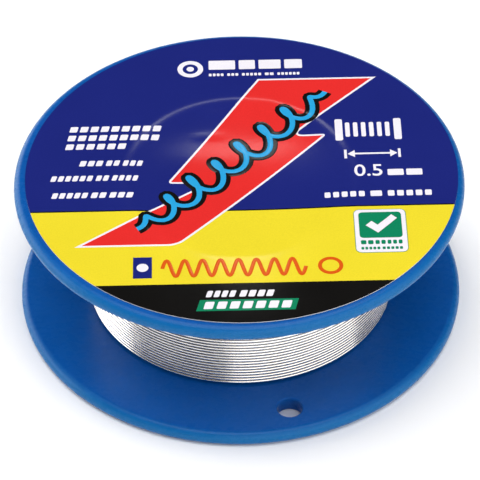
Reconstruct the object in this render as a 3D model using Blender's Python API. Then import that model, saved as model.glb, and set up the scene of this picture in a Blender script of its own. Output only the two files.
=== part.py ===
"""A small spool of 0.5 mm solder wire, modelled in metres with +Z up.

The spool is two moulded halves pushed together. The upper half is a flange with the barrel that
the wire is wound on. The lower half is a flange with a spigot that snaps into the barrel. Each has
half of the bore tube, held by a web and ribs, and both hubs are open on the outside. The wire is
one length wound in even layers. A round label closes the upper hub, and a ring label is stuck in a
recess of the lower flange. The origin is the centre of the face that the spool rests on.
"""

import math

import bmesh
import bpy
from mathutils import Matrix, Vector

MM = 0.001

# Driving dimensions
FLANGE_RADIUS = 29.5 * MM
SPOOL_HEIGHT = 21.0 * MM
FLANGE_THICKNESS = 2.1 * MM
RIM_ROUNDING = 1.0 * MM
WINDING_RADIUS = 20.4 * MM
BARREL_RADIUS = 16.6 * MM
WALL = 1.2 * MM
BORE_RADIUS = 8.0 * MM
MOUTH_CHAMFER = 0.4 * MM
GAP = 0.3 * MM

# Labels: a stuck label is thin, and lies almost on its flange
LABEL_THICKNESS = 0.15 * MM
LABEL_GAP = 0.05 * MM
FACE_LABEL_RADIUS = 28.3 * MM
FACE_LABEL_CENTRE = (0.3 * MM, 0.1 * MM)
BACK_LABEL_INNER = 15.6 * MM
BACK_LABEL_OUTER = 22.8 * MM
RECESS_MARGIN = 0.4 * MM
RECESS_DEPTH = 0.35 * MM

# The small hole that the wire's loose end is tucked into
TUCK_HOLE_RADIUS = 1.65 * MM
TUCK_HOLE_AT = 25.2 * MM
TUCK_HOLE_ANGLE = math.radians(-75.9)

# Snap bead on the spigot, its groove in the barrel, and the webs and ribs of the hubs
SPIGOT_END = 11.6 * MM
SPIGOT_LEAD_IN = 0.4 * MM
SNAP_HEIGHT = 9.0 * MM
SNAP_BEAD = 0.35 * MM
SNAP_BEAD_WIDTH = 0.8 * MM
SNAP_FLAT = 0.4 * MM
SNAP_GROOVE_WIDTH = 1.6 * MM
TUBE_SETBACK = 1.0 * MM
WEB_SETBACK = 0.6 * MM
RIB_COUNT = 6
RIB_THICKNESS = 1.0 * MM
RIB_SETBACK = 1.6 * MM

# Worked out from the above
LOWER_INNER_FACE = FLANGE_THICKNESS
UPPER_OUTER_FACE = SPOOL_HEIGHT - LABEL_THICKNESS - LABEL_GAP
UPPER_INNER_FACE = UPPER_OUTER_FACE - FLANGE_THICKNESS
PARTING_HEIGHT = SPOOL_HEIGHT / 2
TUBE_RADIUS = BORE_RADIUS + WALL
BARREL_BORE = BARREL_RADIUS - WALL
SPIGOT_RADIUS = BARREL_BORE - GAP
SPIGOT_BORE = SPIGOT_RADIUS - WALL

# Facets round a full circle, on a rounded rim, and on a small hole
ROUND = 64
RIM_STEPS = 4
HOLE_SIDES = 20
CUT_MARGIN = 1.0 * MM


def clear_scene():
    for old in list(bpy.data.objects):
        bpy.data.objects.remove(old, do_unlink=True)


def material(name, colour, roughness, metallic=0.0):
    made = bpy.data.materials.new(name)
    made.use_nodes = True
    shader = made.node_tree.nodes["Principled BSDF"]
    shader.inputs["Base Color"].default_value = (*colour, 1.0)
    shader.inputs["Roughness"].default_value = roughness
    shader.inputs["Metallic"].default_value = metallic
    return made


def object_from(bm, name, finish=None):
    """Turns a bmesh into a linked object with outward faces and smooth round walls."""
    bmesh.ops.remove_doubles(bm, verts=bm.verts, dist=0.001 * MM)
    bmesh.ops.recalc_face_normals(bm, faces=bm.faces)
    mesh = bpy.data.meshes.new(name)
    bm.to_mesh(mesh)
    bm.free()
    mesh.shade_smooth()
    mesh.set_sharp_from_angle(angle=math.radians(35))
    made = bpy.data.objects.new(name, mesh)
    bpy.context.scene.collection.objects.link(made)
    if finish:
        mesh.materials.append(finish)
    return made


def turned(name, profile, finish):
    """A ring: the closed (radius, height) profile turned once about Z."""
    bm = bmesh.new()
    points = [bm.verts.new((radius, 0, height)) for radius, height in profile]
    edges = [bm.edges.new((points[i - 1], points[i])) for i in range(len(points))]
    bmesh.ops.spin(
        bm,
        geom=points + edges,
        cent=(0, 0, 0),
        axis=(0, 0, 1),
        angle=2 * math.pi,
        steps=ROUND,
        use_merge=True,
    )
    return object_from(bm, name, finish)


def rounded_rim(low, high):
    """Profile points up round the outside of a flange, from its low face to its high face."""
    centre = FLANGE_RADIUS - RIM_ROUNDING
    points = []
    for height, start in ((low + RIM_ROUNDING, -math.pi / 2), (high - RIM_ROUNDING, 0)):
        for step in range(RIM_STEPS + 1):
            angle = start + math.pi / 2 * step / RIM_STEPS
            radius = centre + RIM_ROUNDING * math.cos(angle)
            points.append((radius, height + RIM_ROUNDING * math.sin(angle)))
    return points


def cylinder(bm, radius, length, sides, centre):
    bmesh.ops.create_cone(
        bm,
        cap_ends=True,
        segments=sides,
        radius1=radius,
        radius2=radius,
        depth=length,
        matrix=Matrix.Translation(centre),
    )


def combine(target, tool, operation):
    """Adds or cuts a tool shape, which stays in the scene as a hidden wire guide."""
    tool.hide_render = True
    tool.display_type = "WIRE"
    change = target.modifiers.new(tool.name, "BOOLEAN")
    change.operation = operation
    change.solver = "EXACT"
    change.object = tool


def ribs(name, outer, low, high):
    """Radial ribs that join a hub's bore tube to its outer wall."""
    bm = bmesh.new()
    inner = TUBE_RADIUS - WALL / 2
    size = Vector((outer + WALL / 2 - inner, RIB_THICKNESS, high - low))
    middle = Vector((inner + size.x / 2, 0, (low + high) / 2))
    for index in range(RIB_COUNT):
        turn = Matrix.Rotation(2 * math.pi * (index + 0.5) / RIB_COUNT, 4, "Z")
        shape = turn @ Matrix.Translation(middle) @ Matrix.Diagonal((*size, 1))
        bmesh.ops.create_cube(bm, size=1, matrix=shape)
    return object_from(bm, name)


def lower_half(plastic):
    tube_top = PARTING_HEIGHT - GAP / 2
    web_top = tube_top - WEB_SETBACK
    web_underside = web_top - WALL
    bead_radius = SPIGOT_RADIUS + SNAP_BEAD
    recess_inner = BACK_LABEL_INNER - RECESS_MARGIN
    recess_outer = BACK_LABEL_OUTER + RECESS_MARGIN
    profile = [
        (BORE_RADIUS + MOUTH_CHAMFER, TUBE_SETBACK),
        (BORE_RADIUS, TUBE_SETBACK + MOUTH_CHAMFER),
        (BORE_RADIUS, tube_top),
        (TUBE_RADIUS, tube_top),
        (TUBE_RADIUS, web_top),
        (SPIGOT_BORE, web_top),
        (SPIGOT_BORE, SPIGOT_END),
        (SPIGOT_RADIUS - SPIGOT_LEAD_IN, SPIGOT_END),
        (SPIGOT_RADIUS, SPIGOT_END - SPIGOT_LEAD_IN),
        (SPIGOT_RADIUS, SNAP_HEIGHT + SNAP_BEAD_WIDTH / 2),
        (bead_radius, SNAP_HEIGHT + SNAP_FLAT / 2),
        (bead_radius, SNAP_HEIGHT - SNAP_FLAT / 2),
        (SPIGOT_RADIUS, SNAP_HEIGHT - SNAP_BEAD_WIDTH / 2),
        (SPIGOT_RADIUS, LOWER_INNER_FACE),
        *reversed(rounded_rim(0, LOWER_INNER_FACE)),
        (recess_outer, 0),
        (recess_outer, RECESS_DEPTH),
        (recess_inner, RECESS_DEPTH),
        (recess_inner, 0),
        (SPIGOT_BORE + MOUTH_CHAMFER, 0),
        (SPIGOT_BORE, MOUTH_CHAMFER),
        (SPIGOT_BORE, web_underside),
        (TUBE_RADIUS, web_underside),
        (TUBE_RADIUS, TUBE_SETBACK),
    ]
    half = turned("lower_half", profile, plastic)
    hub_ribs = ribs("lower_rib_guide", SPIGOT_BORE, RIB_SETBACK, web_top - WALL / 2)
    combine(half, hub_ribs, "UNION")

    bm = bmesh.new()
    centre = Vector((TUCK_HOLE_AT, 0, FLANGE_THICKNESS / 2))
    centre.rotate(Matrix.Rotation(TUCK_HOLE_ANGLE, 3, "Z"))
    cylinder(bm, TUCK_HOLE_RADIUS, FLANGE_THICKNESS + 2 * CUT_MARGIN, HOLE_SIDES, centre)
    combine(half, object_from(bm, "tuck_hole_cutter"), "DIFFERENCE")
    return half


def upper_half(plastic):
    tube_top = UPPER_OUTER_FACE - TUBE_SETBACK
    tube_end = PARTING_HEIGHT + GAP / 2
    web_underside = SPIGOT_END + GAP
    web_top = web_underside + WALL
    barrel_end = LOWER_INNER_FACE + GAP
    groove_low = SNAP_HEIGHT - SNAP_GROOVE_WIDTH / 2
    groove_high = SNAP_HEIGHT + SNAP_GROOVE_WIDTH / 2
    groove_radius = BARREL_BORE + SNAP_BEAD
    profile = [
        (BORE_RADIUS, tube_end),
        (BORE_RADIUS, tube_top),
        (TUBE_RADIUS, tube_top),
        (TUBE_RADIUS, web_top),
        (BARREL_BORE, web_top),
        (BARREL_BORE, UPPER_OUTER_FACE - MOUTH_CHAMFER),
        (BARREL_BORE + MOUTH_CHAMFER, UPPER_OUTER_FACE),
        *reversed(rounded_rim(UPPER_INNER_FACE, UPPER_OUTER_FACE)),
        (BARREL_RADIUS, UPPER_INNER_FACE),
        (BARREL_RADIUS, barrel_end),
        (BARREL_BORE, barrel_end),
        (BARREL_BORE, groove_low),
        (groove_radius, groove_low),
        (groove_radius, groove_high),
        (BARREL_BORE, groove_high),
        (BARREL_BORE, web_underside),
        (TUBE_RADIUS, web_underside),
        (TUBE_RADIUS, tube_end),
    ]
    half = turned("upper_half", profile, plastic)
    rib_top = UPPER_OUTER_FACE - RIB_SETBACK
    hub_ribs = ribs("upper_rib_guide", BARREL_BORE, web_underside + WALL / 2, rib_top)
    combine(half, hub_ribs, "UNION")
    return half


def wire_winding(solder):
    """The wound wire, eight layers of turns, as one plain ring of its outer shape."""
    profile = [
        (BARREL_RADIUS + GAP, LOWER_INNER_FACE + GAP),
        (BARREL_RADIUS + GAP, UPPER_INNER_FACE - GAP),
        (WINDING_RADIUS, UPPER_INNER_FACE - GAP),
        (WINDING_RADIUS, LOWER_INNER_FACE + GAP),
    ]
    return turned("wire_winding", profile, solder)


def face_label(paper):
    """A round label that covers the upper flange and closes its open hub."""
    bm = bmesh.new()
    centre = (*FACE_LABEL_CENTRE, SPOOL_HEIGHT - LABEL_THICKNESS / 2)
    cylinder(bm, FACE_LABEL_RADIUS, LABEL_THICKNESS, ROUND, centre)
    return object_from(bm, "face_label", paper)


def back_label(paper):
    """A ring label in the lower flange's recess, which leaves the hub open."""
    high = RECESS_DEPTH - LABEL_GAP
    low = high - LABEL_THICKNESS
    profile = [
        (BACK_LABEL_INNER, low),
        (BACK_LABEL_INNER, high),
        (BACK_LABEL_OUTER, high),
        (BACK_LABEL_OUTER, low),
    ]
    return turned("back_label", profile, paper)


def build():
    clear_scene()
    plastic = material("blue_plastic", (0.012, 0.085, 0.32), 0.38)
    solder = material("bright_solder", (0.80, 0.80, 0.82), 0.25, metallic=1.0)
    face_print = material("face_label_print", (0.014, 0.020, 0.18), 0.30)
    back_print = material("back_label_print", (0.014, 0.020, 0.18), 0.35)
    lower_half(plastic)
    upper_half(plastic)
    wire_winding(solder)
    face_label(face_print)
    back_label(back_print)


build()
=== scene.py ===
import math

import bmesh
import bpy
from mathutils import Matrix, Vector, noise


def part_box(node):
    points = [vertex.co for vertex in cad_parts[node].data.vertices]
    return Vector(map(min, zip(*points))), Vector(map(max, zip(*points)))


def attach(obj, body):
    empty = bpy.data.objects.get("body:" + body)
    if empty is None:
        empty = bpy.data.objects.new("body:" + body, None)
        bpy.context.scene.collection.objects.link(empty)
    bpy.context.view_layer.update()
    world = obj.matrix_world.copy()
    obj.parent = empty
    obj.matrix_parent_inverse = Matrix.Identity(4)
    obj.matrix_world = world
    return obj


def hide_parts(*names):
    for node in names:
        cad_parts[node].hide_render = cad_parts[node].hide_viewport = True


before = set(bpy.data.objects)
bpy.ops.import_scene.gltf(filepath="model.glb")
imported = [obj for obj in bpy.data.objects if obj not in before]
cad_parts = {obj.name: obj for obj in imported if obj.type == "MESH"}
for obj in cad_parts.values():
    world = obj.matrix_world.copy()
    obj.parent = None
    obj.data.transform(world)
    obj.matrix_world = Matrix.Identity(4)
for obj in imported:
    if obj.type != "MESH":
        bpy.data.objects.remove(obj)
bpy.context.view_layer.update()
print("frame loaded:", ", ".join(sorted(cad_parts)))

mm = 0.001
cadGap = 0.3 * mm  # what the solids leave between touching parts
weldGap = 0.0005 * mm

lowerLow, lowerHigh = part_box("lower_half")
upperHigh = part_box("upper_half")[1]
windingLow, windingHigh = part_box("wire_winding")
faceLow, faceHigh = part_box("face_label")
backLow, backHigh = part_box("back_label")

spool = {
    "flangeRadius": (lowerHigh.x - lowerLow.x) / 2,
    "lowerOuterFace": lowerLow.z,
    "lowerInnerFace": windingLow.z - cadGap,
    "upperInnerFace": windingHigh.z + cadGap,
    "upperOuterFace": upperHigh.z,
    "windingRadius": windingHigh.x,
    "parting": (lowerLow.z + faceHigh.z) / 2,
}


# small helpers


def linked(name, data):
    shown = bpy.data.objects.new(name, data)
    bpy.context.scene.collection.objects.link(shown)
    return shown


def shownMesh(name, bm, materials=()):
    mesh = bpy.data.meshes.new(name)
    bm.to_mesh(mesh)
    bm.free()
    for finish in materials:
        mesh.materials.append(finish)
    return linked(name, mesh)


def settle(piece):
    # freezes modifiers or a curve into a plain mesh at the origin
    graph = bpy.context.evaluated_depsgraph_get()
    mesh = bpy.data.meshes.new_from_object(piece.evaluated_get(graph))
    name = piece.name
    mesh.transform(piece.matrix_world)
    bpy.data.objects.remove(piece)
    mesh.name = name
    return linked(name, mesh)


def weldedFrom(piece):
    # a bmesh of the piece with the seams of its end caps closed; the piece itself goes
    bm = bmesh.new()
    bm.from_mesh(piece.data)
    bpy.data.objects.remove(piece)
    bmesh.ops.remove_doubles(bm, verts=bm.verts, dist=weldGap)
    return bm


def tubeAlong(name, points, radius, resolution):
    # a bmesh of a closed round tube along the points
    line = bpy.data.curves.new(name, "CURVE")
    line.dimensions = "3D"
    line.twist_mode = "Z_UP"
    line.bevel_depth = radius
    line.bevel_resolution = resolution
    line.use_fill_caps = True
    spline = line.splines.new("POLY")
    spline.points.add(len(points) - 1)
    for target, point in zip(spline.points, points):
        target.co = (*point, 1)
    return weldedFrom(settle(linked(name, line)))


def spunRound(bm, steps):
    bmesh.ops.spin(bm, geom=bm.verts[:] + bm.edges[:], cent=(0, 0, 0), axis=(0, 0, 1),
                   angle=2 * math.pi, steps=steps, use_merge=True)
    bmesh.ops.remove_doubles(bm, verts=bm.verts, dist=weldGap)
    bmesh.ops.recalc_face_normals(bm, faces=bm.faces)


def smooth(piece, sharpAngle):
    piece.data.shade_smooth()
    piece.data.set_sharp_from_angle(angle=math.radians(sharpAngle))


def mount(piece, slot, *nodes):
    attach(piece, "root")
    if nodes:
        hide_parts(*nodes)


# materials


def newFinish(name):
    finish = bpy.data.materials.new(name)
    finish.use_nodes = True
    nodes = finish.node_tree.nodes
    return finish, nodes, finish.node_tree.links, nodes["Principled BSDF"]


def coords(nodes, links, scale, kind="Object"):
    source = nodes.new("ShaderNodeTexCoord")
    mapping = nodes.new("ShaderNodeMapping")
    mapping.inputs["Scale"].default_value = scale
    links.new(source.outputs[kind], mapping.inputs["Vector"])
    return mapping.outputs["Vector"]


def noiseAt(nodes, links, vector, scale, detail=3.0, rough=0.5):
    made = nodes.new("ShaderNodeTexNoise")
    made.inputs["Scale"].default_value = scale
    made.inputs["Detail"].default_value = detail
    made.inputs["Roughness"].default_value = rough
    links.new(vector, made.inputs["Vector"])
    return made.outputs["Fac"]


def ranged(nodes, links, value, low, high, fromLow=0.3, fromHigh=0.7):
    made = nodes.new("ShaderNodeMapRange")
    made.inputs["From Min"].default_value = fromLow
    made.inputs["From Max"].default_value = fromHigh
    made.inputs["To Min"].default_value = low
    made.inputs["To Max"].default_value = high
    links.new(value, made.inputs["Value"])
    return made.outputs["Result"]


def fromAxis(nodes, links):
    # how far each point is from the spool's axis
    made = nodes.new("ShaderNodeVectorMath")
    made.operation = "LENGTH"
    links.new(coords(nodes, links, (1, 1, 0)), made.inputs[0])
    return made.outputs["Value"]


def blendColours(nodes, links, amount, first, second):
    # first and second are colours, or sockets that give them
    made = nodes.new("ShaderNodeMix")
    made.data_type = "RGBA"
    for name, colour in (("A", first), ("B", second)):
        if isinstance(colour, tuple):
            made.inputs[name].default_value = (*colour, 1)
        else:
            links.new(colour, made.inputs[name])
    links.new(amount, made.inputs["Factor"])
    return made.outputs["Result"]


def product(nodes, links, first, second):
    made = nodes.new("ShaderNodeMath")
    made.operation = "MULTIPLY"
    links.new(first, made.inputs[0])
    links.new(second, made.inputs[1])
    return made.outputs["Value"]


def bumped(nodes, links, shader, height, depth, strength=1.0, before=None):
    made = nodes.new("ShaderNodeBump")
    made.inputs["Strength"].default_value = strength
    made.inputs["Distance"].default_value = depth
    links.new(height, made.inputs["Height"])
    if before:
        links.new(before, made.inputs["Normal"])
    links.new(made.outputs["Normal"], shader.inputs["Normal"])
    return made.outputs["Normal"]


plasticLook = {
    "deep": (0.0018, 0.0740, 0.3120),
    "pale": (0.0036, 0.0890, 0.3600),
    # painted light: the paler blue painted on the round rims, and how far in from the edge it
    # reaches
    "rim": (0.0060, 0.1240, 0.3400),
    "rimLightBand": 1.0 * mm,
    "roughness": (0.24, 0.34),
    "flowScale": 90,
    "grainScale": 2600,
    "grainDepth": 0.0015 * mm,
    "scuffScale": (700, 900, 1500),
    "scuffDepth": 0.0008 * mm,
    "ior": 1.49,
    "specular": 0.14,
}


def mouldedPlastic():
    look = plasticLook
    finish, nodes, links, shader = newFinish("blueMouldedPlastic")
    place = coords(nodes, links, (1, 1, 1))
    flow = noiseAt(nodes, links, place, look["flowScale"], 4.0, 0.6)
    grain = noiseAt(nodes, links, place, look["grainScale"], 4.0, 0.6)
    scuffs = noiseAt(nodes, links, coords(nodes, links, look["scuffScale"]), 1.0, 5.0, 0.65)
    colour = blendColours(nodes, links, ranged(nodes, links, flow, 0, 1), look["deep"], look["pale"])
    # painted light: the round rims near the flange's edge are painted a paler blue than the flat
    # faces, standing in for the light they catch
    edge = spool["flangeRadius"]
    rimLightMask = ranged(nodes, links, fromAxis(nodes, links), 0, 1, edge - look["rimLightBand"], edge)
    rimLitColour = blendColours(nodes, links, rimLightMask, colour, look["rim"])
    links.new(rimLitColour, shader.inputs["Base Color"])
    roughness = ranged(nodes, links, scuffs, *look["roughness"], 0.35, 0.75)
    links.new(roughness, shader.inputs["Roughness"])
    shader.inputs["IOR"].default_value = look["ior"]
    shader.inputs["Specular IOR Level"].default_value = look["specular"]
    fine = bumped(nodes, links, shader, grain, look["grainDepth"], 0.5)
    bumped(nodes, links, shader, scuffs, look["scuffDepth"], 0.4, fine)
    return finish


winding = {
    "diameter": 0.5 * mm,
    "layers": 8,
    "turns": 33,
    "startAngle": 100,
    "wander": 0.003 * mm,
    "wanderScale": (1.3, 0.9),  # round each turn, and from turn to turn
    "wanderShift": Vector((7.1, 3.3, 0)),
    "flangeShare": 0.02,  # the turns against the flanges don't wander sideways
    "innerPoints": 48,
    "innerResolution": 1,
    "outerPoints": 144,
    "outerResolution": 4,
    "climbTurns": 0.25,
    "tailAngle": 24,
    "tailLift": 0.9 * mm,
}

solderLook = {
    "bright": (0.97, 0.945, 0.90),
    "dull": (0.86, 0.835, 0.79),
    # painted shade in the creases between turns: its colour, where it fades out towards the crest,
    # and how metallic it stays
    "gapShade": (0.25, 0.19, 0.12),
    "gapShadeFrom": 0.10 * mm,
    "gapShadeTo": 0.20 * mm,
    "gapShadeMetal": 0.85,
    "roughness": (0.16, 0.26),
    "drawLines": (400, 26, 1),
    "drawDepth": 0.001 * mm,
    "filmScale": 420,
}


def solderMetal():
    # the wire's own UV runs along it, so die lines follow each turn
    look = solderLook
    finish, nodes, links, shader = newFinish("brightDrawnSolder")
    lines = noiseAt(nodes, links, coords(nodes, links, look["drawLines"], "UV"), 1.0, 3.0, 0.6)
    film = noiseAt(nodes, links, coords(nodes, links, (1, 1, 1)), look["filmScale"], 3.0, 0.6)
    tint = ranged(nodes, links, film, 0, 1, 0.45, 0.8)
    metalTone = blendColours(nodes, links, tint, look["bright"], look["dull"])
    # painted shade: the creases between turns, nearer the axis than the crests, are painted dark
    # brown and less metallic
    middle = spool["windingRadius"] - winding["diameter"] / 2
    crest = ranged(nodes, links, fromAxis(nodes, links), 0, 1, middle + look["gapShadeFrom"],
                   middle + look["gapShadeTo"])
    gapShadedTone = blendColours(nodes, links, crest, look["gapShade"], metalTone)
    links.new(gapShadedTone, shader.inputs["Base Color"])
    links.new(ranged(nodes, links, lines, *look["roughness"]), shader.inputs["Roughness"])
    gapShadedMetallic = ranged(nodes, links, crest, look["gapShadeMetal"], 1.0, 0, 1)
    links.new(gapShadedMetallic, shader.inputs["Metallic"])
    bumped(nodes, links, shader, lines, look["drawDepth"], 0.5)
    return finish


inkLook = {
    "darkBlue": (0.0090, 0.0155, 0.1650),
    "yellow": (0.7600, 0.6200, 0.0240),
    "black": (0.0040, 0.0036, 0.0032),
    "red": (0.7000, 0.0230, 0.0210),
    "white": (0.8000, 0.7700, 0.8300),
    "cyan": (0.0200, 0.3300, 0.6500),
    "orange": (0.6400, 0.0900, 0.0060),
    "green": (0.0030, 0.2000, 0.0920),
    "paperWhite": (0.8000, 0.7900, 0.7600),
    "roughness": (0.055, 0.085),
    "specular": 0.30,
    "darker": 0.86,
    "lighter": 1.06,
    "haze": 0.002,
    "dotScale": 5200,
    "sheetScale": 130,
    "peelScale": 1500,
    "peelDepth": 0.002 * mm,
}


def ink(colourName):
    # printed and varnished: a faint screen of dots, slow shade changes, and an orange-peel gloss
    look = inkLook
    finish, nodes, links, shader = newFinish(colourName + "Ink")
    place = coords(nodes, links, (1, 1, 1))
    dots = noiseAt(nodes, links, place, look["dotScale"], 1.0, 0.5)
    slow = noiseAt(nodes, links, place, look["sheetScale"], 3.0, 0.5)
    peel = noiseAt(nodes, links, place, look["peelScale"], 2.0, 0.5)
    cover = product(nodes, links, ranged(nodes, links, dots, 0.6, 1.0),
                    ranged(nodes, links, slow, 0.7, 1.0))
    darker = tuple(c * look["darker"] for c in look[colourName])
    lighter = tuple(c * look["lighter"] + look["haze"] for c in look[colourName])
    links.new(blendColours(nodes, links, cover, darker, lighter), shader.inputs["Base Color"])
    links.new(ranged(nodes, links, slow, *look["roughness"]), shader.inputs["Roughness"])
    shader.inputs["Specular IOR Level"].default_value = look["specular"]
    bumped(nodes, links, shader, peel, look["peelDepth"], 0.4)
    return finish


blue = mouldedPlastic()
metal = solderMetal()
inks = {name: ink(name) for name in (
    "darkBlue", "yellow", "black", "red", "white", "cyan", "orange", "green", "paperWhite")}
print("materials ready:", len(bpy.data.materials))


# moulded halves, and the ring label that the lower one is recessed for

ringLabel = {"inner": 15.6 * mm}

halves = {
    "steps": 192,
    "rimRounding": 1.0 * mm,
    "rimSegments": 10,
    "edgeRounding": 0.14 * mm,
    "edgeSegments": 3,
    "wall": 1.2 * mm,
    "boreRadius": 8.0 * mm,
    "mouthRounding": 0.4 * mm,
    "mouthSegments": 4,
    "barrelRadius": 16.6 * mm,
    "tubeSetback": 1.0 * mm,
    "webSetback": 0.6 * mm,
    "spigotEnd": 11.6 * mm,
    "leadIn": 0.4 * mm,
    "snapHeight": 9.0 * mm,
    "snapBead": 0.35 * mm,
    "snapHalfWidth": 0.4 * mm,
    "grooveHalfWidth": 0.8 * mm,
    "ribCount": 6,
    "ribThickness": 1.0 * mm,
    "ribSetback": 1.6 * mm,
    "recessMargin": 0.4 * mm,
    "recessDepth": 0.35 * mm,
    "tuckHoleRadius": 1.65 * mm,
    "tuckHoleAt": 25.2 * mm,
    "tuckHoleAngle": -75.9,
    "tuckHoleFlare": 0.22 * mm,
    "tuckHoleFlareSteps": 4,
    "tuckHoleSides": 48,
}
softEdge = (halves["edgeRounding"], halves["edgeSegments"])
softRim = (halves["rimRounding"], halves["rimSegments"])
softMouth = (halves["mouthRounding"], halves["mouthSegments"])
tubeRadius = halves["boreRadius"] + halves["wall"]
barrelBore = halves["barrelRadius"] - halves["wall"]
spigotRadius = barrelBore - cadGap
spigotBore = spigotRadius - halves["wall"]


def turnedPiece(name, profile, materials=()):
    # profile holds (radius, height, rounding, segments) and is spun once round
    bm = bmesh.new()
    corners = []
    softened = {}
    for radius, height, rounding, segments in profile:
        corners.append(bm.verts.new((radius, 0, height)))
        if rounding:
            softened.setdefault((rounding, segments), []).append(corners[-1])
    for index in range(len(corners)):
        bm.edges.new((corners[index - 1], corners[index]))
    for (rounding, segments), group in softened.items():
        touching = [e for e in bm.edges if any(v in group for v in e.verts)]
        bmesh.ops.bevel(bm, geom=group + touching, offset=rounding, offset_type="OFFSET",
                        segments=segments, profile=0.5, affect="VERTICES", material=-1)
    spunRound(bm, halves["steps"])
    return shownMesh(name, bm, materials)


def ribTool(name, outer, low, high):
    bm = bmesh.new()
    inner = tubeRadius - halves["wall"] / 2
    length = outer + halves["wall"] / 2 - inner
    size = Matrix.Diagonal((length, halves["ribThickness"], high - low, 1))
    middle = Matrix.Translation((inner + length / 2, 0, (low + high) / 2))
    for index in range(halves["ribCount"]):
        turn = Matrix.Rotation(2 * math.pi * (index + 0.5) / halves["ribCount"], 4, "Z")
        bmesh.ops.create_cube(bm, size=1, matrix=turn @ middle @ size)
    return shownMesh(name, bm)


def tuckHoleTool():
    # the cutter flares at both faces, which leaves a soft edge round the hole
    radius, flare = halves["tuckHoleRadius"], halves["tuckHoleFlare"]
    low, high = spool["lowerOuterFace"], spool["lowerInnerFace"]
    over = 0.5 * mm
    side = [(0, low - over), (radius + flare, low - over), (radius + flare, low)]
    for step in range(1, halves["tuckHoleFlareSteps"] + 1):
        angle = math.pi / 2 * step / halves["tuckHoleFlareSteps"]
        side.append((radius + flare * (1 - math.sin(angle)), low + flare * (1 - math.cos(angle))))
    mirrored = [(away, low + high - height) for away, height in reversed(side)]
    side.append((radius, (low + high) / 2))
    bm = bmesh.new()
    corners = [bm.verts.new((away, 0, height)) for away, height in side + mirrored]
    for first, second in zip(corners, corners[1:]):
        bm.edges.new((first, second))
    spunRound(bm, halves["tuckHoleSides"])
    bmesh.ops.translate(bm, verts=bm.verts, vec=(halves["tuckHoleAt"], 0, 0))
    bmesh.ops.rotate(bm, verts=bm.verts, cent=(0, 0, 0),
                     matrix=Matrix.Rotation(math.radians(halves["tuckHoleAngle"]), 3, "Z"))
    return shownMesh("tuckHoleTool", bm)


def joined(piece, tools):
    # tools gives each tool's operation
    for tool, operation in tools.items():
        change = piece.modifiers.new(tool.name, "BOOLEAN")
        change.operation = operation
        change.solver = "EXACT"
        change.object = tool
    solid = settle(piece)
    for tool in tools:
        bpy.data.objects.remove(tool)
    smooth(solid, 32)
    even = solid.modifiers.new("evenNormals", "WEIGHTED_NORMAL")
    even.keep_sharp = True
    return solid


def lowerHalf():
    beadAt, beadHalf = halves["snapHeight"], halves["snapHalfWidth"]
    outerFace, innerFace = spool["lowerOuterFace"], spool["lowerInnerFace"]
    tubeTop = spool["parting"] - cadGap / 2
    webTop = tubeTop - halves["webSetback"]
    webLow = webTop - halves["wall"]
    recessInner = ringLabel["inner"] - halves["recessMargin"]
    recessOuter = backHigh.x + halves["recessMargin"]
    recessTop = outerFace + halves["recessDepth"]
    profile = [
        (halves["boreRadius"], outerFace + halves["tubeSetback"], *softMouth),
        (halves["boreRadius"], tubeTop, *softEdge),
        (tubeRadius, tubeTop, *softEdge),
        (tubeRadius, webTop, *softEdge),
        (spigotBore, webTop, *softEdge),
        (spigotBore, halves["spigotEnd"], *softEdge),
        (spigotRadius, halves["spigotEnd"], halves["leadIn"], halves["mouthSegments"]),
        (spigotRadius, beadAt + beadHalf, *softEdge),
        (spigotRadius + halves["snapBead"], beadAt + beadHalf / 3, 0, 0),
        (spigotRadius + halves["snapBead"], beadAt - beadHalf / 3, 0, 0),
        (spigotRadius, beadAt - beadHalf, *softEdge),
        (spigotRadius, innerFace, *softEdge),
        (spool["flangeRadius"], innerFace, *softRim),
        (spool["flangeRadius"], outerFace, *softRim),
        (recessOuter, outerFace, *softEdge),
        (recessOuter, recessTop, 0, 0),
        (recessInner, recessTop, 0, 0),
        (recessInner, outerFace, *softEdge),
        (spigotBore, outerFace, *softMouth),
        (spigotBore, webLow, *softEdge),
        (tubeRadius, webLow, *softEdge),
        (tubeRadius, outerFace + halves["tubeSetback"], *softEdge),
    ]
    solid = turnedPiece("lower_half_moulding", profile, [blue])
    ribLow = outerFace + halves["ribSetback"]
    tools = {
        ribTool("lowerRibTool", spigotBore, ribLow, webTop - halves["wall"] / 2): "UNION",
        tuckHoleTool(): "DIFFERENCE",
    }
    mount(joined(solid, tools), "blue_plastic", "lower_half")


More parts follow.
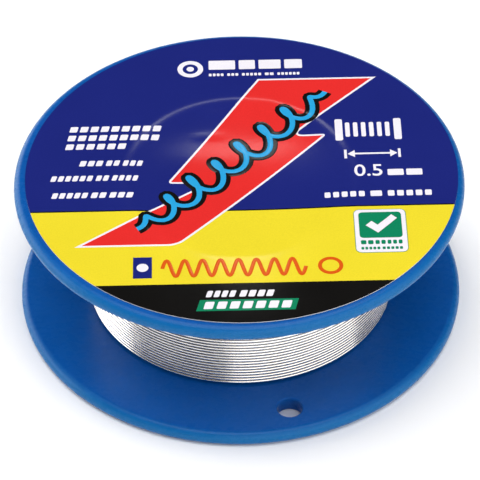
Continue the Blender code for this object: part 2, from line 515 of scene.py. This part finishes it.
def upperHalf():
    outerFace, innerFace = spool["upperOuterFace"], spool["upperInnerFace"]
    tubeTop = outerFace - halves["tubeSetback"]
    tubeEnd = spool["parting"] + cadGap / 2
    webLow = halves["spigotEnd"] + cadGap
    webTop = webLow + halves["wall"]
    barrelEnd = spool["lowerInnerFace"] + cadGap
    grooveLow = halves["snapHeight"] - halves["grooveHalfWidth"]
    grooveHigh = halves["snapHeight"] + halves["grooveHalfWidth"]
    grooveRadius = barrelBore + halves["snapBead"]
    profile = [
        (halves["boreRadius"], tubeEnd, *softEdge),
        (halves["boreRadius"], tubeTop, *softMouth),
        (tubeRadius, tubeTop, *softEdge),
        (tubeRadius, webTop, *softEdge),
        (barrelBore, webTop, *softEdge),
        (barrelBore, outerFace, *softMouth),
        (spool["flangeRadius"], outerFace, *softRim),
        (spool["flangeRadius"], innerFace, *softRim),
        (halves["barrelRadius"], innerFace, *softEdge),
        (halves["barrelRadius"], barrelEnd, *softEdge),
        (barrelBore, barrelEnd, *softEdge),
        (barrelBore, grooveLow, *softEdge),
        (grooveRadius, grooveLow, *softEdge),
        (grooveRadius, grooveHigh, *softEdge),
        (barrelBore, grooveHigh, *softEdge),
        (barrelBore, webLow, *softEdge),
        (tubeRadius, webLow, *softEdge),
        (tubeRadius, tubeEnd, *softEdge),
    ]
    solid = turnedPiece("upper_half_moulding", profile, [blue])
    ribHigh = outerFace - halves["ribSetback"]
    tools = {ribTool("upperRibTool", barrelBore, webLow + halves["wall"] / 2, ribHigh): "UNION"}
    mount(joined(solid, tools), "blue_plastic", "upper_half")


lowerHalf()
upperHalf()
print("moulded halves made")


# the wire: one length, laid in eight layers from the barrel outwards

def wirePoint(turnsLaid):
    # place of the wire's centre after that many turns
    radius = winding["diameter"] / 2
    layer = min(int(turnsLaid / winding["turns"]), winding["layers"] - 1)
    within = turnsLaid - layer * winding["turns"]
    first = halves["barrelRadius"] + radius
    last = spool["windingRadius"] - radius
    layerStep = (last - first) / (winding["layers"] - 1)
    climb = max(0.0, (within - winding["turns"] + winding["climbTurns"]) / winding["climbTurns"])
    if layer == winding["layers"] - 1:
        climb = 0.0
    climb = climb * climb * (3 - 2 * climb)
    away = first + layerStep * (layer + climb)
    low = spool["lowerInnerFace"] + radius
    high = spool["upperInnerFace"] - radius
    share = within / winding["turns"]
    if layer % 2:
        share = 1 - share
    height = low + (high - low) * share
    angle = math.radians(winding["startAngle"]) + 2 * math.pi * turnsLaid
    around, onward = winding["wanderScale"]
    seed = Vector((math.cos(angle) * around, math.sin(angle) * around, turnsLaid * onward))
    away += winding["wander"] * noise.noise(seed)
    if winding["flangeShare"] < share < 1 - winding["flangeShare"]:
        height += winding["wander"] * noise.noise(seed + winding["wanderShift"])
    return Vector((away * math.cos(angle), away * math.sin(angle), height))


def wirePiece(name, points, resolution):
    wire = shownMesh(name, tubeAlong(name, points, winding["diameter"] / 2, resolution), [metal])
    smooth(wire, 50)
    mount(wire, "bright_solder", "wire_winding")


def windWire():
    innerTurns = winding["turns"] * (winding["layers"] - 1)
    steps = innerTurns * winding["innerPoints"]
    inner = [wirePoint(innerTurns * i / steps) for i in range(steps + 1)]
    wirePiece("solder_wire_inner_layers", inner, winding["innerResolution"])
    steps = winding["turns"] * winding["outerPoints"]
    outer = [wirePoint(innerTurns + winding["turns"] * i / steps) for i in range(steps + 1)]
    tailSteps = int(winding["outerPoints"] * winding["tailAngle"] / 360)
    for back in range(tailSteps):
        # the loose end springs a little off the winding
        rise = (1 - back / tailSteps) ** 2 * winding["tailLift"]
        point = outer[-1 - back]
        out = Vector((point.x, point.y, 0)).normalized()
        outer[-1 - back] = point + out * rise
    wirePiece("solder_wire_outer_layer", outer, winding["outerResolution"])
    length = 0.0
    for first, second in zip(inner + outer, inner[1:] + outer):
        length += (second - first).length
    print("wire wound:", round(length, 2), "m")


windWire()


# labels

label = {
    "radius": (faceHigh.x - faceLow.x) / 2,
    "centre": Vector(((faceHigh.x + faceLow.x) / 2, (faceHigh.y + faceLow.y) / 2, 0)),
    "turn": 0.7,
    "thickness": 0.14 * mm,
    "layerStep": 0.010 * mm,
    "layers": 4,
    "blueDownTo": -7.1 * mm,
    "yellowDownTo": -21.1 * mm,
    "steps": 256,
    "sag": 0.42 * mm,
    "sagRadius": barrelBore,
    "sagSoftness": 0.045,
    "cell": 0.6 * mm,
    "cellReach": 1.08,  # of the open hub's radius
    "creases": ((-7.2, 7.4, 6.4, 0.012), (-4.6, 11.9, 3.4, 0.010), (2.5, 13.6, 3.0, -0.008)),
    "creaseWidth": 0.5 * mm,
    "creaseBow": 0.5 * mm,
    "creaseTurn": 2.5,
}
labelTop = faceHigh.z - (label["layers"] + 0.5) * label["layerStep"]


def sagAt(x, y):
    # the label dips where it bridges the open hub, and has a few faint creases there, each given
    # by its left end, level, length and height in millimetres
    away = math.hypot(x, y) / label["sagRadius"]
    soft = label["sagSoftness"]
    inside = (1 - away * away) / soft
    dip = -label["sag"] * soft * (inside if inside > 30 else math.log1p(math.exp(inside)))
    for left, level, length, height in label["creases"]:
        along = (x / mm - left) / length
        if 0 < along < 1:
            bow = label["creaseBow"] * math.sin(label["creaseTurn"] * along)
            across = (y - level * mm - bow) / label["creaseWidth"]
            dip += height * mm * math.sin(math.pi * along) ** 2 * math.exp(-across * across)
    return dip


def cutAcross(bm, place, normal):
    bmesh.ops.bisect_plane(bm, geom=bm.verts[:] + bm.edges[:] + bm.faces[:],
                           dist=0.0001 * mm, plane_co=place, plane_no=normal)


def gridCuts(bm):
    reach = label["sagRadius"] * label["cellReach"]
    count = int(reach / label["cell"]) + 1
    for index in range(-count, count + 1):
        for axis in ((1, 0, 0), (0, 1, 0)):
            cutAcross(bm, Vector(axis) * index * label["cell"], axis)


def turnToLabel(bm):
    bmesh.ops.rotate(bm, verts=bm.verts, cent=(0, 0, 0),
                     matrix=Matrix.Rotation(math.radians(label["turn"]), 3, "Z"))
    bmesh.ops.translate(bm, verts=bm.verts, vec=label["centre"])


def layOnLabel(bm, height):
    # turns flat artwork to the label's angle, cuts it finely over the hub, and drapes it
    turnToLabel(bm)
    gridCuts(bm)
    for vert in bm.verts:
        vert.co.z = height + sagAt(vert.co.x, vert.co.y)


def thicken(bm, depth):
    # gives flat artwork, faces up, a closed body below it
    bmesh.ops.recalc_face_normals(bm, faces=bm.faces)
    for face in bm.faces:
        if face.normal.z < 0:
            face.normal_flip()
    made = bmesh.ops.extrude_face_region(bm, geom=bm.faces[:], use_keep_orig=True)
    lower = [part for part in made["geom"] if isinstance(part, bmesh.types.BMVert)]
    for vert in lower:
        vert.co.z -= depth
    bmesh.ops.recalc_face_normals(bm, faces=bm.faces)


def printFilm(name, bm, layer, inkName):
    # each film is a layer above the one below, and its body reaches down into the sheet
    layOnLabel(bm, labelTop + layer * label["layerStep"])
    thicken(bm, (layer + 2) * label["layerStep"])
    film = shownMesh(name, bm, [inks[inkName]])
    smooth(film, 30)
    mount(film, "face_label_print")


def faceLabelSheet():
    bm = bmesh.new()
    bmesh.ops.create_circle(bm, cap_ends=True, segments=label["steps"], radius=label["radius"])
    for edge in (label["blueDownTo"], label["yellowDownTo"]):
        cutAcross(bm, (0, edge, 0), (0, 1, 0))
    for face in bm.faces:
        middle = face.calc_center_median().y
        face.material_index = 0 if middle > label["blueDownTo"] else 1
        if middle < label["yellowDownTo"]:
            face.material_index = 2
    layOnLabel(bm, labelTop)
    thicken(bm, label["thickness"] - (label["layers"] + 0.5) * label["layerStep"])
    bm.normal_update()
    for face in bm.faces:
        if face.normal.z < 0.5:
            face.material_index = 3  # the cut edge and the back are bare paper
    materials = [inks["darkBlue"], inks["yellow"], inks["black"], inks["paperWhite"]]
    sheet = shownMesh("face_label_sheet", bm, materials)
    smooth(sheet, 30)
    mount(sheet, "face_label_print", "face_label")


def polygon(bm, points, rounding=None, segments=6):
    # points are in millimetres; rounding maps a corner's number to its radius
    corners = [bm.verts.new((x * mm, y * mm, 0)) for x, y in points]
    bm.faces.new(corners)
    for index, radius in (rounding or {}).items():
        bmesh.ops.bevel(bm, geom=[corners[index]], offset=radius * mm, offset_type="OFFSET",
                        segments=segments, profile=0.5, affect="VERTICES", material=-1)


def block(bm, left, low, width, height, rounding=0.0, slant=0.0):
    # a plain printed block, slanted by so many degrees
    shift = math.tan(math.radians(slant)) * height
    points = [(left, low), (left + width, low), (left + width + shift, low + height),
              (left + shift, low + height)]
    polygon(bm, points, dict.fromkeys(range(4), rounding) if rounding else None, 3)


def disc(bm, x, y, radius, sides=32):
    place = Matrix.Translation((x * mm, y * mm, 0))
    bmesh.ops.create_circle(bm, cap_ends=True, segments=sides, radius=radius * mm, matrix=place)


def ringMark(bm, x, y, outer, inner, sides=40):
    made = bmesh.ops.create_circle(bm, cap_ends=True, segments=sides, radius=outer * mm,
                                   matrix=Matrix.Translation((x * mm, y * mm, 0)))
    face = made["verts"][0].link_faces[0]
    bmesh.ops.inset_region(bm, faces=[face], thickness=(outer - inner) * mm,
                           use_boundary=True, use_even_offset=True)
    bmesh.ops.delete(bm, geom=[face], context="FACES")


wordBlocks = {
    "gap": 0.3,  # between blocks, as a share of their pitch
    "rounding": 0.16,
    "mostRounding": 0.25,  # of a block's height
}


def words(bm, left, low, widths, height, gap, slant, pitch):
    # each word is a run of plain blocks of one size
    between = wordBlocks["gap"] * pitch
    rounding = min(wordBlocks["rounding"], height * wordBlocks["mostRounding"])
    for width in widths:
        count = max(1, round(width / pitch))
        step = (width + between) / count
        for index in range(count):
            wide = min(width, step - between)
            block(bm, left + step * index, low, wide, height, rounding, slant)
        left += width + gap


flash = {
    "outline": [(2.6, 19.2), (18.6, 19.2), (7.0, 7.6), (11.6, 7.6), (-8.4, -13.9),
                (-21.6, -13.9), (-4.6, -1.6), (-9.8, -1.6)],
    "rounding": {2: 1.4, 3: 0.8, 4: 1.2, 6: 1.4, 7: 0.8},
    "border": 0.31,
}


def flashMark():
    # a red flash with a white border
    bm = bmesh.new()
    polygon(bm, flash["outline"], flash["rounding"])
    printFilm("print_flash_border", bm, 1, "white")
    bm = bmesh.new()
    polygon(bm, flash["outline"], flash["rounding"])
    made = bmesh.ops.inset_region(bm, faces=bm.faces[:], thickness=flash["border"] * mm,
                                  use_boundary=True, use_even_offset=True)
    bmesh.ops.delete(bm, geom=made["faces"], context="FACES")
    printFilm("print_flash", bm, 2, "red")


scribble = {
    "start": (-13.6, -10.6),
    "end": (11.6, 16.2),
    "loops": 8,
    "height": 2.0,
    "heightChange": 0.12,
    "changeTurns": 3.7,
    "fadeShare": 1 / 6,
    "swing": 1.15,
    "points": 260,
    "stroke": 0.36,
    "border": 0.80,
    "lean": 0.25,
}


def scribblePath():
    # a curl of wire drawn along a slanting line
    start, end = Vector(scribble["start"]), Vector(scribble["end"])
    along = (end - start).normalized()
    across = Vector((-along.y, along.x))
    length = (end - start).length
    points = []
    for index in range(scribble["points"] + 1):
        share = index / scribble["points"]
        turn = 2 * math.pi * scribble["loops"] * share
        fade = min(1.0, share / scribble["fadeShare"], (1 - share) / scribble["fadeShare"])
        change = math.sin(scribble["changeTurns"] * 2 * math.pi * share)
        height = scribble["height"] * fade * (1 + scribble["heightChange"] * change)
        up = -height * math.cos(turn)
        forward = length * share + scribble["swing"] * fade * math.sin(turn) + scribble["lean"] * up
        points.append(start + along * forward + across * up)
    return points


def brushStroke(name, points, width, layer, inkName):
    # a round stroke of ink, pressed flat on the label
    bm = tubeAlong(name, [(x * mm, y * mm, 0) for x, y in points], width * mm / 2, 4)
    turnToLabel(bm)
    flat = label["layerStep"] / (width * mm)
    level = labelTop + (layer - 0.5) * label["layerStep"]
    for vert in bm.verts:
        vert.co.z = vert.co.z * flat + level + sagAt(vert.co.x, vert.co.y)
    bmesh.ops.recalc_face_normals(bm, faces=bm.faces)
    film = shownMesh(name, bm, [inks[inkName]])
    smooth(film, 60)
    mount(film, "face_label_print")


# label artwork, in millimetres from the label's middle: a block is (left, low, width, height,
# rounding, slant) and a row of words is (left, low, widths, height, gap, slant, pitch)
whiteArt = {
    "topRing": (-6.5, 21.6, 1.75, 1.05),
    "topDot": (-6.5, 21.6, 0.5),
    "closeRows": (9, 9, 6),
    "closeRowAt": (-22.7, 8.8),
    "closeRowStep": (0.25, 1.77),
    "closeRowLook": (1.02, 1.1, 0.36, 12, 1.4),
    "rows": (
        (-4.0, 21.4, (3.6, 2.2, 3.0, 2.4), 1.9, 0.5, 0, 4.0),
        (-4.0, 20.0, (2.0, 1.5, 2.6, 1.2, 3.0), 0.55, 0.5, 0, 0.5),
        (-21.3, 1.9, (3.0, 1.7, 2.5), 1.05, 0.5, 14, 0.9),
        (-25.0, -1.05, (5.4, 1.6, 3.3), 1.05, 0.5, 14, 0.9),
        (-24.8, -4.4, (4.6, 1.9, 3.0), 1.05, 0.5, 14, 0.9),
        (19.1, -1.1, (2.1, 2.1), 1.2, 0.35, 0, 3.0),
        (10.7, -5.15, (5.2, 1.5, 5.7), 1.05, 0.75, 0, 1.15),
        (-5.0, -23.6, (3.6, 4.2), 1.15, 0.6, 16, 0.95),
    ),
    "spoolFlanges": ((12.6, 6.1, 1.0, 4.3, 0.25), (20.4, 6.1, 1.0, 4.3, 0.25)),
    "spoolTurns": 6,
    "spoolTurn": (13.95, 6.8, 0.6, 2.9, 0.2),
    "spoolTurnStep": 1.06,
    "arrowBars": ((13.6, 2.5, 0.35, 1.7), (20.7, 2.5, 0.35, 1.7), (15.0, 3.2, 4.65, 0.3)),
    "arrowHeads": (((14.05, 3.35), (15.0, 2.65), (15.0, 4.05)),
                   ((20.6, 3.35), (19.65, 4.05), (19.65, 2.65))),
}


def whiteMarks():
    # a ring and bars at the top, rows of blocks for words, and a spool drawn from the side with
    # a size arrow under it
    art = whiteArt
    bm = bmesh.new()
    ringMark(bm, *art["topRing"])
    disc(bm, *art["topDot"])
    (left, low), (shift, drop) = art["closeRowAt"], art["closeRowStep"]
    cell, *look = art["closeRowLook"]
    for row, count in enumerate(art["closeRows"]):
        words(bm, left - shift * row, low - drop * row, (cell,) * count, *look)
    for row in art["rows"]:
        words(bm, *row)
    for bar in art["spoolFlanges"] + art["arrowBars"]:
        block(bm, *bar)
    left, *bar = art["spoolTurn"]
    for index in range(art["spoolTurns"]):
        block(bm, left + art["spoolTurnStep"] * index, *bar)
    for head in art["arrowHeads"]:
        polygon(bm, head)
    printFilm("print_white_marks", bm, 2, "white")


numerals = {"body": "0.5", "size": 3.2 * mm, "offset": 0.03 * mm, "at": (14.7 * mm, -1.1 * mm, 0)}


def sizeMark():
    # the wire's size in plain numerals
    text = bpy.data.curves.new("print_size_numerals", "FONT")
    text.body = numerals["body"]
    text.size = numerals["size"]
    text.offset = numerals["offset"]
    text.resolution_u = 4
    bm = weldedFrom(settle(linked("print_size_numerals", text)))
    bmesh.ops.translate(bm, verts=bm.verts, vec=numerals["at"])
    printFilm("print_size_numerals", bm, 2, "white")


rule = {"height": 0.22, "margin": 0.1}


def bandLine():
    # a thin black rule where the blue band meets the yellow one
    bm = bmesh.new()
    reach = math.sqrt(label["radius"] ** 2 - label["blueDownTo"] ** 2) / mm - rule["margin"]
    block(bm, -reach, label["blueDownTo"] / mm, 2 * reach, rule["height"])
    printFilm("print_band_line", bm, 0.5, "black")


badgeArt = {
    "edge": (14.22, -15.98, 6.76, 8.26, 0.78),
    "card": (14.3, -15.9, 6.6, 8.1, 0.7),
    "field": (14.85, -13.2, 5.5, 4.9, 0.5),
    "rows": ((14.95, -14.4, (1.6, 1.3, 1.9), 0.75, 0.25, 0, 0.75),
             (14.95, -15.4, (2.4, 2.6), 0.5, 0.3, 0, 0.5)),
    "tick": ((15.7, -10.8), (16.5, -10.0), (17.25, -10.75), (19.1, -8.8), (19.8, -9.5),
             (17.25, -12.25)),
}


def printBlock(name, shape, layer, inkName):
    bm = bmesh.new()
    block(bm, *shape)
    printFilm(name, bm, layer, inkName)


def badge():
    printBlock("print_badge_edge", badgeArt["edge"], 1, "green")
    printBlock("print_badge_card", badgeArt["card"], 2, "white")
    bm = bmesh.new()
    block(bm, *badgeArt["field"])
    for row in badgeArt["rows"]:
        words(bm, *row)
    printFilm("print_badge_field", bm, 3, "green")
    bm = bmesh.new()
    polygon(bm, badgeArt["tick"])
    printFilm("print_badge_tick", bm, 4, "white")


orangeArt = {
    "square": (-14.1, -19.9, 2.4, 3.9),
    "dot": (-12.9, -17.95, 0.75),
    "waveFrom": -10.4,
    "waveLength": 18.2,
    "waveLevel": -18.2,
    "waveHeight": 1.5,
    "waves": 8,
    "wavePoints": 160,
    "stroke": 0.5,
    "ring": (10.9, -18.2, 1.6, 1.1),
}


def orangeLine():
    art = orangeArt
    printBlock("print_small_square", art["square"], 2, "darkBlue")
    bm = bmesh.new()
    disc(bm, *art["dot"])
    printFilm("print_small_dot", bm, 3, "white")
    points = []
    for index in range(art["wavePoints"] + 1):
        share = index / art["wavePoints"]
        rise = art["waveHeight"] * math.sin(2 * math.pi * art["waves"] * share)
        points.append((art["waveFrom"] + art["waveLength"] * share, art["waveLevel"] + rise))
    brushStroke("print_orange_wave", points, art["stroke"], 2, "orange")
    bm = bmesh.new()
    ringMark(bm, *art["ring"])
    printFilm("print_orange_ring", bm, 2, "orange")


tagArt = {
    "tag": (-6.2, -26.1, 12.4, 2.0, 0.0, 14),
    "blocks": 7,
    "block": (-5.3, -25.75, 1.15, 1.3, 0.15, 14),
    "blockStep": 1.62,
}


def greenTag():
    printBlock("print_green_tag", tagArt["tag"], 1, "green")
    bm = bmesh.new()
    left, *shape = tagArt["block"]
    for index in range(tagArt["blocks"]):
        block(bm, left + tagArt["blockStep"] * index, *shape)
    printFilm("print_tag_blocks", bm, 2, "white")


faceLabelSheet()
bandLine()
flashMark()
route = scribblePath()
brushStroke("print_scribble_border", route, scribble["stroke"] + 2 * scribble["border"], 3, "black")
brushStroke("print_scribble", route, 2 * scribble["stroke"], 4, "cyan")
whiteMarks()
sizeMark()
badge()
orangeLine()
greenTag()
print("face label printed")


def backLabel():
    low, high = backLow.z, backHigh.z
    inner, outer = ringLabel["inner"], backHigh.x
    profile = [(inner, low, 0, 0), (inner, high, 0, 0), (outer, high, 0, 0), (outer, low, 0, 0)]
    sheet = turnedPiece("back_label_sheet", profile, [inks["darkBlue"], inks["paperWhite"]])
    for face in sheet.data.polygons:
        if face.normal.z > -0.5:
            face.material_index = 1
    smooth(sheet, 30)
    mount(sheet, "back_label_print", "back_label")


backLabel()
print("back label made")


# stage: pale floor, soft lights, camera

stageSet = {
    "floorSize": 0.48,
    "floorColour": (0.95, 0.95, 0.95),
    "floorRoughness": 0.9,
    "floorSpecular": 0.1,
    "floorDrop": 0.02 * mm,
    # brightness by the height of the direction, from the horizon at 0 to overhead at 1
    "glowBands": ((0.00, 1.00), (0.07, 1.00), (0.09, 0.14), (0.28, 0.12), (0.42, 0.05),
                  (0.80, 0.05), (0.92, 2.50), (1.0, 2.50)),
    "glowMost": 4,
}


def paleFloor():
    bm = bmesh.new()
    bmesh.ops.create_circle(bm, cap_ends=True, segments=64, radius=stageSet["floorSize"])
    bmesh.ops.translate(bm, verts=bm.verts, vec=(0, 0, -stageSet["floorDrop"]))
    finish, nodes, links, shader = newFinish("paleFloor")
    shader.inputs["Base Color"].default_value = (*stageSet["floorColour"], 1)
    shader.inputs["Roughness"].default_value = stageSet["floorRoughness"]
    shader.inputs["Specular IOR Level"].default_value = stageSet["floorSpecular"]
    shownMesh("studio_floor", bm, [finish])


lights = {
    "softTop": (0, 86, 1.2, (1.0, 1.0), 0.9),
    "softRight": (37, 24, 0.45, (0.84, 0.38), 1.60),
    "softLeftBack": (-117, 17, 0.8, (1.20, 0.56), 3.2),
    "stripBack": (180, 43.1, 2.0, (0.046, 0.024), 5.5),
}


def softLight(name, azimuth, elevation, distance, size, brightness):
    # azimuth 0 is on the camera's side, and grows to the right; brightness is the panel's own
    turn, rise = math.radians(azimuth), math.radians(elevation)
    flat = distance * math.cos(rise)
    place = Vector((flat * math.sin(turn), -flat * math.cos(turn), distance * math.sin(rise)))
    lamp = bpy.data.lights.new(name, "AREA")
    lamp.shape = "RECTANGLE"
    lamp.size, lamp.size_y = size
    lamp.energy = brightness * math.pi * size[0] * size[1]
    shown = linked(name, lamp)
    shown.location = place
    shown.rotation_euler = (-place).to_track_quat("-Z", "Y").to_euler()
    shown.visible_camera = False


def studioWorld():
    world = bpy.data.worlds.new("studioWorld")
    world.use_nodes = True
    # a tent of soft light: bright round the horizon and overhead, dim in between
    nodes, links = world.node_tree.nodes, world.node_tree.links
    height = nodes.new("ShaderNodeSeparateXYZ")
    links.new(nodes.new("ShaderNodeTexCoord").outputs["Generated"], height.inputs["Vector"])
    glow = nodes.new("ShaderNodeFloatCurve")
    curve = glow.mapping.curves[0]
    bands = stageSet["glowBands"]
    for at, level in bands[1:-1]:
        curve.points.new(at, level / stageSet["glowMost"])
    for end in (0, -1):
        curve.points[end].location = (bands[end][0], bands[end][1] / stageSet["glowMost"])
    for point in curve.points:
        point.handle_type = "VECTOR"
    glow.mapping.extend = "HORIZONTAL"
    glow.mapping.update()
    links.new(height.outputs["Z"], glow.inputs["Value"])
    scaled = nodes.new("ShaderNodeMath")
    scaled.operation = "MULTIPLY"
    scaled.inputs[1].default_value = stageSet["glowMost"]
    links.new(glow.outputs["Value"], scaled.inputs[0])
    background = nodes["Background"]
    background.inputs["Color"].default_value = (1, 1, 1, 1)
    links.new(scaled.outputs["Value"], background.inputs["Strength"])
    bpy.context.scene.world = world


cameraSet = {
    "elevation": 42.31,
    "distance": 413.0 * mm,
    "target": (0, 0, 9.14 * mm),
    "roll": -0.73,
    "lens": 232.3,
    "sensor": 36,
    "clip": (0.01, 20),
}


def viewCamera():
    rise = math.radians(cameraSet["elevation"])
    target = Vector(cameraSet["target"])
    away = Vector((0, -math.cos(rise), math.sin(rise))) * cameraSet["distance"]
    lens = bpy.data.cameras.new("viewCamera")
    lens.lens = cameraSet["lens"]
    lens.sensor_width = cameraSet["sensor"]
    lens.clip_start, lens.clip_end = cameraSet["clip"]
    shown = linked("viewCamera", lens)
    aim = (-away).to_track_quat("-Z", "Y").to_matrix().to_4x4()
    roll = Matrix.Rotation(math.radians(cameraSet["roll"]), 4, "Z")
    shown.matrix_world = Matrix.Translation(target + away) @ aim @ roll
    bpy.context.scene.camera = shown


paleFloor()
studioWorld()
for name, light in lights.items():
    softLight(name, *light)
viewCamera()
bpy.context.scene.view_settings.view_transform = "Standard"
print("stage ready")
